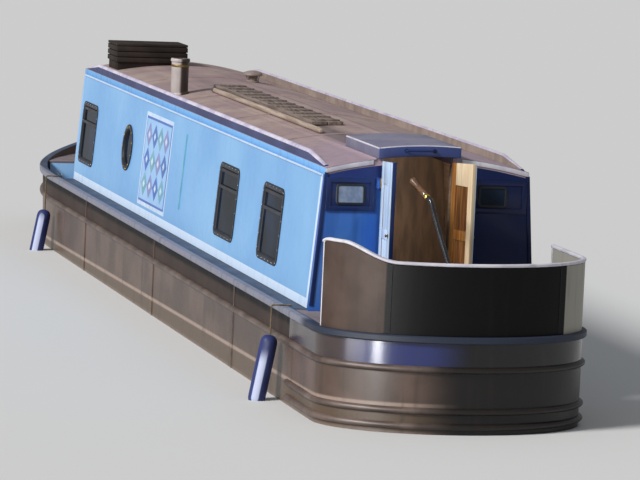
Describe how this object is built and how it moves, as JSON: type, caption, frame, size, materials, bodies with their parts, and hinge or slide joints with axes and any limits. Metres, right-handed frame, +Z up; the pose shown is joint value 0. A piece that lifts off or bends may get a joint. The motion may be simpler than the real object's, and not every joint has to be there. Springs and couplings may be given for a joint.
{
  "type": "narrowboat",
  "caption": "Steel canal narrowboat with a rounded open stern, light blue cabin, sliding hatch, twin doors, roof gear and side fenders.",
  "frame": {"origin": "under the middle of the boat, in the plane of the base plate's underside", "axes": "+X to the bow, +Y to port, +Z up; the waterline is at z = 0.50 m"},
  "size_m": [13.88, 2.4924, 2.624],
  "materials": {
    "hull_blacking": "worn bitumen blacking over steel",
    "deck_paint": "matt non-slip deck paint",
    "cabin_blue": "semi-gloss light blue coach paint",
    "bulkhead_blue": "gloss royal blue coach paint",
    "roof_paint": "faded matt red oxide roof paint",
    "navy_paint": "gloss navy paint",
    "varnished_wood": "gloss varnished hardwood",
    "plywood": "satin plywood lining",
    "rail_white": "worn white paint",
    "black_paint": "gloss black paint",
    "brass": "polished, slightly tarnished brass",
    "bronze": "dull bronze",
    "steel": "bare steel with light rust",
    "cream_paint": "cream enamel",
    "window_glass": "dark tinted glass in painted frames",
    "fender_rubber": "navy ribbed rubber",
    "rope": "weathered natural rope",
    "engine_paint": "oily green engine enamel"
  },
  "bodies": {
    "hull": {"base_plate": "hull_blacking", "hull_side_port": "hull_blacking", "hull_side_starboard": "hull_blacking", "bow_port": "hull_blacking", "bow_starboard": "hull_blacking", "stem_post": "hull_blacking", "bow_fender": "rope", "swim": "hull_blacking", "uxter_plate": "hull_blacking", "stern_counter": "hull_blacking", "stern_deck": "deck_paint", "stern_bulwark": "black_paint", "bulwark_rail": "rail_white", "cabin_side_port": "cabin_blue", "cabin_side_starboard": "cabin_blue", "roof": "roof_paint", "handrail_port": "navy_paint", "handrail_starboard": "navy_paint", "rear_bulkhead": "bulkhead_blue", "front_bulkhead": "cabin_blue", "partition_rear": "plywood", "partition_front": "plywood", "well_deck": "deck_paint", "well_front": "cabin_blue", "foredeck": "deck_paint", "cabin_floor": "plywood", "engine_bed": "steel", "engine": "engine_paint", "rear_steps": "varnished_wood", "skeg": "hull_blacking", "chimney": "cream_paint", "roof_box": "black_paint", "gangplank": "plywood", "boat_pole": "varnished_wood", "head_lamp": "brass", "roof_vent": "rail_white", "window_port_1": "window_glass", "window_port_2": "window_glass", "window_port_3": "window_glass", "window_port_4": "window_glass", "fender_rear_port": "fender_rubber", "fender_front_port": "fender_rubber", "window_starboard_1": "window_glass", "window_starboard_2": "window_glass", "window_starboard_3": "window_glass", "window_starboard_4": "window_glass", "fender_rear_starboard": "fender_rubber", "fender_front_starboard": "fender_rubber"},
    "rear_door_port": {"rear_door_port": "varnished_wood"},
    "rear_door_starboard": {"rear_door_starboard": "varnished_wood"},
    "front_door_port": {"front_door_port": "varnished_wood"},
    "front_door_starboard": {"front_door_starboard": "varnished_wood"},
    "slide_hatch": {"slide_hatch": "navy_paint"},
    "rudder_assembly": {"rudder": "hull_blacking", "swan_neck": "navy_paint", "tiller_bar": "varnished_wood"},
    "propeller_shaft": {"propeller": "bronze"},
    "gas_locker_lid": {"gas_locker_lid": "deck_paint"}
  },
  "joints": [
    {"name": "rear_door_port_hinge", "type": "hinge", "parent": "hull", "child": "rear_door_port", "pos_m": [-5.55, 0.365, 1.8], "axis": [0, 0, 1], "range_deg": [-20, 90]},
    {"name": "rear_door_starboard_hinge", "type": "hinge", "parent": "hull", "child": "rear_door_starboard", "pos_m": [-5.55, -0.205, 1.8], "axis": [0, 0, -1], "range_deg": [-3, 107]},
    {"name": "front_door_port_hinge", "type": "hinge", "parent": "hull", "child": "front_door_port", "pos_m": [3.9, 0.322, 1.5], "axis": [0, 0, 1], "range_deg": [0, 110]},
    {"name": "front_door_starboard_hinge", "type": "hinge", "parent": "hull", "child": "front_door_starboard", "pos_m": [3.9, -0.322, 1.5], "axis": [0, 0, -1], "range_deg": [0, 110]},
    {"name": "hatch_slide", "type": "slide", "parent": "hull", "child": "slide_hatch", "axis": [1, 0, 0], "range_m": [0, 0.7]},
    {"name": "rudder_turn", "type": "hinge", "parent": "hull", "child": "rudder_assembly", "pos_m": [-6.46, 0, 0.7], "axis": [0, 0, 1], "range_deg": [-63, 17]},
    {"name": "propeller_turn", "type": "hinge", "parent": "hull", "child": "propeller_shaft", "pos_m": [-6.272, 0, 0.235], "axis": [1, 0, 0], "continuous": true},
    {"name": "gas_locker_hinge", "type": "hinge", "parent": "hull", "child": "gas_locker_lid", "pos_m": [5.638, 0, 1.242], "axis": [0, -1, 0], "range_deg": [0, 100]}
  ]
}
